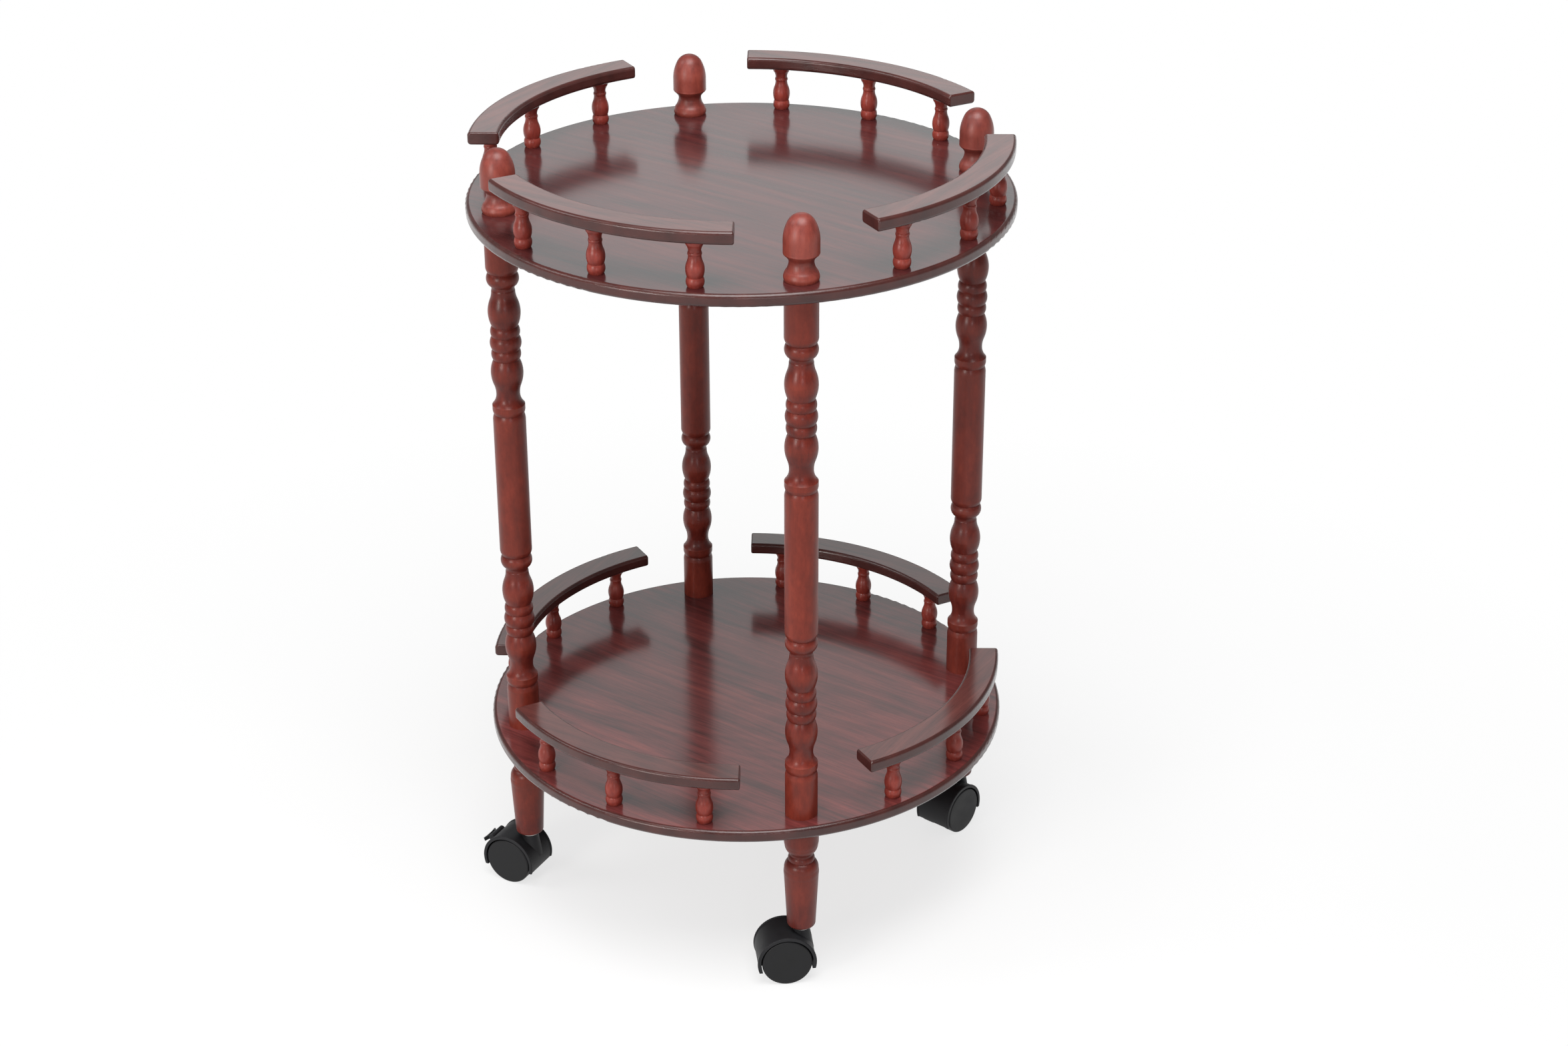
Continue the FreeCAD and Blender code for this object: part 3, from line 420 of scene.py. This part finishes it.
def board_material(board, tones, grain_angle, start, middle=None):
    """Mahogany print under lacquer, its grain along one direction in plan, with painted edges."""
    material, tree, shader = new_material(f"{board}_print")
    space = place(tree, object_space(tree), turn=-math.radians(grain_angle), move=start)
    print_colour, fine, pores = board_print(tree, space, tones)
    edge = shelf_edge(tree) if middle is None else rail_edge(tree, middle)
    edge_colour = ramp(tree, noise(tree, object_space(tree), EDGE_PAINT), EDGE_TONES)
    feed(tree, shader.inputs["Base Color"], mix(tree, edge, print_colour, edge_colour))
    feed(tree, shader.inputs["Roughness"], spread(tree, fine, (0.2, 0.8), (0.34, 0.48)))
    shader.inputs["Specular IOR Level"].default_value = 0.05
    shader.inputs["Coat Weight"].default_value = 1.0
    shader.inputs["Coat Roughness"].default_value = 0.16
    shader.inputs["Coat IOR"].default_value = 1.5
    bump(tree, shader, calculate(tree, "SUBTRACT", fine, pores), 0.1, 0.00006)

    # The lacquer follows the true rounding of the edges, and is grainier there than on the print.
    grit = noise(tree, object_space(tree), EDGE_GRIT, "Color")
    centred = vector_sum(tree, grit, (-0.5, -0.5, -0.5))
    stray = scaled(tree, centred, calculate(tree, "MULTIPLY", edge, EDGE_STRAY))
    lacquer = vector_sum(tree, board_normal(tree, board, middle), stray)
    feed(tree, shader.inputs["Coat Normal"], direction(tree, lacquer))
    return material


# Turned pieces, casters and metal

def turned_material(name, look, axis=None, brown=0.0):
    """Red-brown stained turned wood, with painted shade in the hollows and a painted highlight on the
    crests round a given axis, and painted shade that browns it by a share.
    """
    material, tree, shader = new_material(name)
    space = object_space(tree)
    fibres = noise(tree, space, TURNED_FIBRES)
    mottle = noise(tree, space, TURNED_MOTTLE)
    blotches = noise(tree, space, TURNED_BLOTCHES)
    tone = weighted_sum(tree, [
        (fibres, TURNED_FIBRES.weight),
        (mottle, TURNED_MOTTLE.weight),
        (blotches, TURNED_BLOTCHES.weight),
    ])
    stain_and_painted_light = ramp(tree, tone, look.tones)
    if axis is not None:
        offset = place(tree, space, (1, 1, 0), move=(-axis[0], -axis[1], 0))
        radius = calculate(tree, "DIVIDE", length(tree, offset), POST_RADIUS)
        # Painted shade in the hollows of the turning.
        hollow_shade = spread(tree, radius, HOLLOW_SHADE_RADII, (0.14, 0.0))
        stain_and_painted_light = mix(tree, hollow_shade, stain_and_painted_light, colour(HOLLOW_SHADE_TONE))
        # Painted highlight on the crests of the turning.
        crest_highlight = spread(tree, radius, CREST_HIGHLIGHT_RADII, (0.0, 0.15))
        stain_and_painted_light = mix(tree, crest_highlight, stain_and_painted_light, colour(CREST_HIGHLIGHT_TONE))
    pores = spread(tree, noise(tree, space, TURNED_PORES), (0.62, 0.72), (0.0, 0.12))
    stain_and_painted_light = mix(tree, pores, stain_and_painted_light, colour(TURNED_PORE_TONE))
    # Painted shade, browning the piece by its share.
    if brown:
        stain_and_painted_light = mix(tree, brown, stain_and_painted_light, colour(SHADE_BROWN_TONE))
    feed(tree, shader.inputs["Base Color"], stain_and_painted_light)
    feed(tree, shader.inputs["Roughness"], spread(tree, mottle, (0.25, 0.75), (0.40, 0.55)))
    shader.inputs["Specular IOR Level"].default_value = 0.15
    shader.inputs["Coat Weight"].default_value = look.lacquer
    shader.inputs["Coat Roughness"].default_value = look.softness
    bump(tree, shader, calculate(tree, "SUBTRACT", fibres, pores), 0.12, 0.0001)
    return material


def plastic_material(name, tones):
    """Moulded black plastic with a fine sparked grain."""
    material, tree, shader = new_material(name)
    space = object_space(tree)
    grain = noise(tree, space, PLASTIC_GRAIN)
    haze = noise(tree, space, PLASTIC_HAZE)
    feed(tree, shader.inputs["Base Color"], ramp(tree, haze, tones))
    feed(tree, shader.inputs["Roughness"], spread(tree, haze, (0.3, 0.7), (0.42, 0.56)))
    shader.inputs["Specular IOR Level"].default_value = 0.3
    bump(tree, shader, grain, 0.35, 0.00012)
    return material


def zinc_material():
    """Bright zinc-plated steel with a fine turned grain."""
    material, tree, shader = new_material("bright_zinc")
    scratches = noise(tree, object_space(tree), ZINC_SCRATCHES)
    shader.inputs["Metallic"].default_value = 1.0
    feed(tree, shader.inputs["Base Color"], ramp(tree, scratches, ZINC_TONES))
    feed(tree, shader.inputs["Roughness"], spread(tree, scratches, (0.2, 0.8), (0.2, 0.38)))
    bump(tree, shader, scratches, 0.15, 0.00005)
    return material


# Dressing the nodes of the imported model

def dress(name, material):
    """Gives a node its material."""
    mesh = nodes[name].data
    mesh.materials.clear()
    mesh.materials.append(material)


def dress_boards():
    dress("top_shelf", board_material("top_shelf", TOP_TONES, SHELF_GRAIN_ANGLE, TOP_GRAIN_START))
    dress("lower_shelf", board_material("lower_shelf", LOWER_LIT_TONES, SHELF_GRAIN_ANGLE, LOWER_GRAIN_START))
    step_x, step_y, step_z = RAIL_GRAIN_STEP
    for level_number, level in enumerate(("upper", "lower")):
        for rail_number, (side, middle) in enumerate(RAIL_ANGLES.items()):
            start = (step_x * rail_number, step_y * level_number, step_z * rail_number)
            rail = f"{level}_rail_{side}"
            dress(rail, board_material(rail, RAIL_TONES, middle + 90, start, middle))


def dress_turned_pieces():
    for side, angle in POST_ANGLES.items():
        turn = math.radians(angle)
        axis = (POST_CIRCLE * math.cos(turn), POST_CIRCLE * math.sin(turn))
        for piece, look in TURNED_LOOKS.items():
            brown = LEG_SHADE_BROWN_SHARES[side] if piece == "leg" else SHADE_BROWN_SHARES[side]
            dress(f"{piece}_{side}", turned_material(f"{side}_{piece}_stain", look, axis, brown))


def dress_the_rest():
    """Spindles, casters and metal, each kind in one material."""
    spindle_wood = turned_material("spindle_stain", SPINDLE_LOOK)
    hood_plastic = plastic_material("caster_hood_plastic", HOOD_LIT_TONES)
    wheel_plastic = plastic_material("caster_wheel_plastic", WHEEL_TONES)
    zinc = zinc_material()
    for name in nodes:
        if "spindles" in name:
            dress(name, spindle_wood)
        elif name.startswith(("caster_hood", "brake_lever")):
            dress(name, hood_plastic)
        elif name.startswith("caster_wheel"):
            dress(name, wheel_plastic)
        elif name.startswith(ZINC_STARTS) or name.endswith(ZINC_ENDS):
            dress(name, zinc)


# Floor, light and camera

def background_rays(tree):
    """1 for the rays that show the background itself: camera, glossy and transmission rays."""
    path = tree.nodes.new("ShaderNodeLightPath")
    seen = calculate(tree, "MAXIMUM", path.outputs["Is Camera Ray"], path.outputs["Is Glossy Ray"])
    return calculate(tree, "MAXIMUM", seen, path.outputs["Is Transmission Ray"])


def floor_material():
    """Pale paper that keeps the trolley's shadow near it and fades to white far away."""
    material, tree, output = new_tree("pale_floor")
    paper = noise(tree, object_space(tree), FLOOR_PAPER)
    lit = tree.nodes.new("ShaderNodeBsdfDiffuse")
    feed(tree, lit.inputs["Color"], ramp(tree, paper, FLOOR_LIT_TONES))
    seen = tree.nodes.new("ShaderNodeBsdfDiffuse")
    feed(tree, seen.inputs["Color"], ramp(tree, paper, FLOOR_SEEN_TONES))
    glow = tree.nodes.new("ShaderNodeEmission")
    glow.inputs["Color"].default_value = WHITE
    glow.inputs["Strength"].default_value = 1.0
    far = spread(tree, length(tree, object_space(tree)), FLOOR_FADE, (FLOOR_NEAR_WHITE, 1.0))
    fade = mix_shaders(tree, far, seen.outputs[0], glow.outputs[0])
    blend = mix_shaders(tree, background_rays(tree), lit.outputs[0], fade)
    tree.links.new(blend, output.inputs["Surface"])
    return material


def make_floor():
    mesh = bpy.data.meshes.new("studio_floor")
    half = FLOOR_HALF
    corners = [(-half, -half, 0), (half, -half, 0), (half, half, 0), (-half, half, 0)]
    mesh.from_pydata(corners, [], [(0, 1, 2, 3)])
    mesh.materials.append(floor_material())
    floor = bpy.data.objects.new("studio_floor", mesh)
    bpy.context.scene.collection.objects.link(floor)


def make_world():
    """Even light from all round."""
    world = bpy.data.worlds.new("studio")
    bpy.context.scene.world = world
    world.use_nodes = True
    tree = world.node_tree
    tree.nodes.clear()
    output = tree.nodes.new("ShaderNodeOutputWorld")
    light = tree.nodes.new("ShaderNodeBackground")
    light.inputs["Color"].default_value = WHITE
    light.inputs["Strength"].default_value = WORLD_STRENGTH
    tree.links.new(light.outputs[0], output.inputs["Surface"])


def make_lamp(lamp):
    """A soft rectangular lamp of even radiance, turned to its target."""
    data = bpy.data.lights.new(lamp.name, "AREA")
    data.shape = "RECTANGLE"
    data.size = lamp.width
    data.size_y = lamp.height
    data.energy = lamp.radiance * math.pi * lamp.width * lamp.height
    data.color = lamp.tint
    holder = bpy.data.objects.new(lamp.name, data)
    holder.location = lamp.position
    aim = Vector(lamp.target) - Vector(lamp.position)
    holder.rotation_euler = aim.to_track_quat("-Z", "Y").to_euler()
    holder.visible_camera = False
    bpy.context.scene.collection.objects.link(holder)


def make_camera():
    """The camera of the photograph, solved from the shelves and the posts."""
    level = Vector((math.cos(CAMERA_YAW), math.sin(CAMERA_YAW), 0))
    forward = level * math.cos(CAMERA_PITCH) + Vector((0, 0, math.sin(CAMERA_PITCH)))
    level_right = Vector((math.sin(CAMERA_YAW), -math.cos(CAMERA_YAW), 0))
    level_up = level_right.cross(forward)
    right = level_right * math.cos(CAMERA_ROLL) + level_up * math.sin(CAMERA_ROLL)
    up = level_up * math.cos(CAMERA_ROLL) - level_right * math.sin(CAMERA_ROLL)
    data = bpy.data.cameras.new("photo_camera")
    data.sensor_fit = "HORIZONTAL"
    data.sensor_width = CAMERA_SENSOR
    data.lens = CAMERA_LENS
    data.clip_end = CAMERA_REACH
    camera = bpy.data.objects.new("photo_camera", data)
    turn = Matrix((right, up, -forward)).transposed().to_4x4()
    camera.matrix_world = Matrix.Translation(CAMERA_PLACE) @ turn
    bpy.context.scene.collection.objects.link(camera)
    bpy.context.scene.camera = camera


dress_boards()
dress_turned_pieces()
dress_the_rest()
make_floor()
make_world()
for lamp in LAMPS:
    make_lamp(lamp)
make_camera()
bpy.context.scene.view_settings.view_transform = "Standard"
